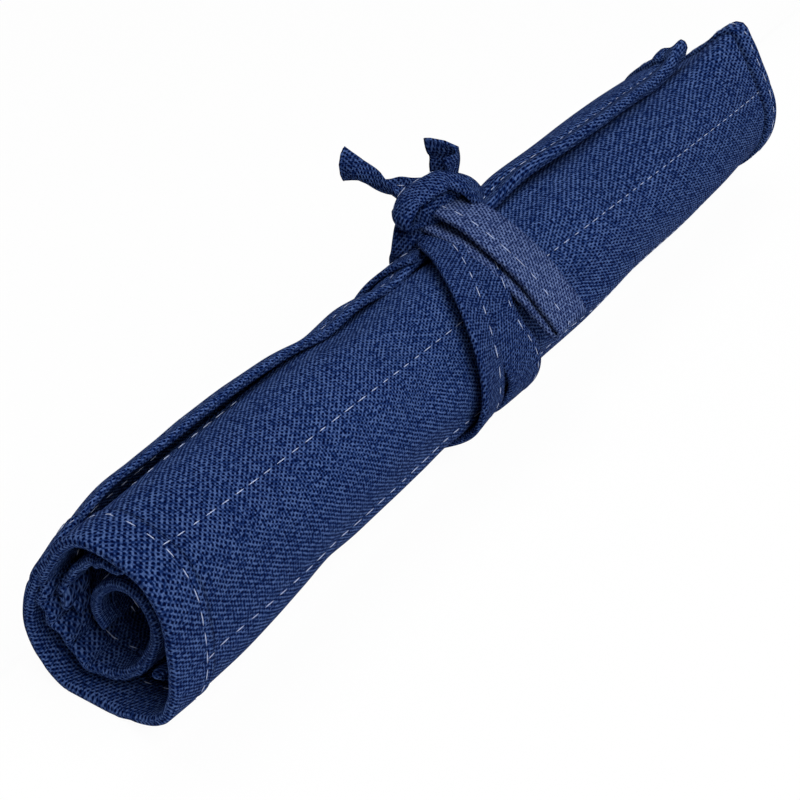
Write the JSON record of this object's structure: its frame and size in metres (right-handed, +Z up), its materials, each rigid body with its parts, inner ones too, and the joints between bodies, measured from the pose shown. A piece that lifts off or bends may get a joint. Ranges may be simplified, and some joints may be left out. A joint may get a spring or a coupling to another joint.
{
  "type": "brush roll",
  "caption": "Rolled canvas brush roll with sewn pockets inside, held shut by a flat canvas tie that is wrapped round the middle and tied in a half bow.",
  "frame": {"origin": "middle of the underside of the part's box", "axes": "+X along the roll towards its far end, -Y the front where the bow loop hangs, +Z up"},
  "size_m": [0.35, 0.0812, 0.0732],
  "materials": {
    "canvas": "coarse plain-weave navy canvas, matt",
    "pocket_cloth": "plain-weave navy canvas, matt",
    "strap": "folded canvas tie, matt, a little greyer"
  },
  "bodies": {
    "base": {"canvas_02": "canvas", "pocket_02": "pocket_cloth", "near_wrap_02": "strap", "far_wrap_02": "strap"},
    "edge": {"canvas_edge": "canvas", "free_edge_hem": "canvas", "near_wrap_edge": "strap", "far_wrap_edge": "strap", "tie_anchor": "strap", "knot_core": "strap", "knot_band": "strap"},
    "leaf_01": {"canvas_01": "canvas", "pocket_01": "pocket_cloth", "near_wrap_01": "strap", "far_wrap_01": "strap"},
    "leaf_03": {"canvas_03": "canvas", "pocket_03": "pocket_cloth", "near_wrap_03": "strap", "far_wrap_03": "strap"},
    "leaf_04": {"canvas_04": "canvas", "pocket_04": "pocket_cloth", "near_wrap_04": "strap", "far_wrap_04": "strap"},
    "leaf_05": {"canvas_05": "canvas", "pocket_05": "pocket_cloth", "near_wrap_05": "strap", "far_wrap_05": "strap"},
    "leaf_06": {"canvas_06": "canvas", "pocket_06": "pocket_cloth"},
    "leaf_07": {"canvas_07": "canvas", "pocket_07": "pocket_cloth"},
    "leaf_08": {"canvas_08": "canvas", "pocket_08": "pocket_cloth"},
    "leaf_09": {"canvas_09": "canvas", "pocket_09": "pocket_cloth"},
    "leaf_10": {"canvas_10": "canvas", "pocket_10": "pocket_cloth", "inner_edge_hem": "canvas"},
    "bow_loop": {"bow_loop": "strap"},
    "left_tail": {"left_tail": "strap"},
    "up_tail": {"up_tail": "strap"}
  },
  "joints": [
    {"name": "unroll", "type": "hinge", "parent": "base", "child": "leaf_03", "pos_m": [0, -0.00588, 0], "axis": [1, 0, 0], "range_deg": [0, 44.9]},
    {"name": "seam_04", "type": "hinge", "parent": "leaf_03", "child": "leaf_04", "pos_m": [0, -0.02385, 0.01901], "axis": [1, 0, 0], "range_deg": [0, 66.08]},
    {"name": "seam_05", "type": "hinge", "parent": "leaf_04", "child": "leaf_05", "pos_m": [0, -0.01289, 0.04309], "axis": [1, 0, 0], "range_deg": [0, 67.43]},
    {"name": "seam_06", "type": "hinge", "parent": "leaf_05", "child": "leaf_06", "pos_m": [0, 0.01332, 0.04138], "axis": [1, 0, 0], "range_deg": [0, 71.83]},
    {"name": "seam_07", "type": "hinge", "parent": "leaf_06", "child": "leaf_07", "pos_m": [0, 0.01894, 0.01598], "axis": [1, 0, 0], "range_deg": [0, 77.2]},
    {"name": "seam_08", "type": "hinge", "parent": "leaf_07", "child": "leaf_08", "pos_m": [0, -0.00467, 0.00592], "axis": [1, 0, 0], "range_deg": [0, 84.05]},
    {"name": "seam_09", "type": "hinge", "parent": "leaf_08", "child": "leaf_09", "pos_m": [0, -0.01597, 0.02847], "axis": [1, 0, 0], "range_deg": [0, 93.2]},
    {"name": "seam_10", "type": "hinge", "parent": "leaf_09", "child": "leaf_10", "pos_m": [0, 0.00698, 0.03711], "axis": [1, 0, 0], "range_deg": [0, 106.2]},
    {"name": "seam_01", "type": "hinge", "parent": "base", "child": "leaf_01", "pos_m": [0, 0.0194, 0.00784], "axis": [-1, 0, 0], "range_deg": [0, 99.08]},
    {"name": "seam_edge", "type": "hinge", "parent": "leaf_01", "child": "edge", "pos_m": [0, 0.02307, 0.03412], "axis": [-1, 0, 0], "range_deg": [0, 38.23]},
    {"name": "bow_loop_lift", "type": "hinge", "parent": "edge", "child": "bow_loop", "pos_m": [-0.012, 0.00283, 0.05372], "axis": [-1, 0, 0], "range_deg": [0, 90]},
    {"name": "left_tail_swing", "type": "hinge", "parent": "edge", "child": "left_tail", "pos_m": [-0.019, 0.01689, 0.04763], "axis": [1, 0, 0], "range_deg": [-40, 45]},
    {"name": "up_tail_swing", "type": "hinge", "parent": "edge", "child": "up_tail", "pos_m": [-0.008, 0.01221, 0.05677], "axis": [0, 0.9397, -0.342], "range_deg": [-45, 45]}
  ],
  "couplings": [
    {"joint": "seam_04", "follows": "unroll", "ratio": 1.4558},
    {"joint": "seam_05", "follows": "unroll", "ratio": 1.4857},
    {"joint": "seam_06", "follows": "unroll", "ratio": 1.5836},
    {"joint": "seam_07", "follows": "unroll", "ratio": 1.7029},
    {"joint": "seam_08", "follows": "unroll", "ratio": 1.8552},
    {"joint": "seam_09", "follows": "unroll", "ratio": 2.0586},
    {"joint": "seam_10", "follows": "unroll", "ratio": 2.3477},
    {"joint": "seam_01", "follows": "unroll", "ratio": 2.1893},
    {"joint": "seam_edge", "follows": "unroll", "ratio": 0.83666}
  ]
}
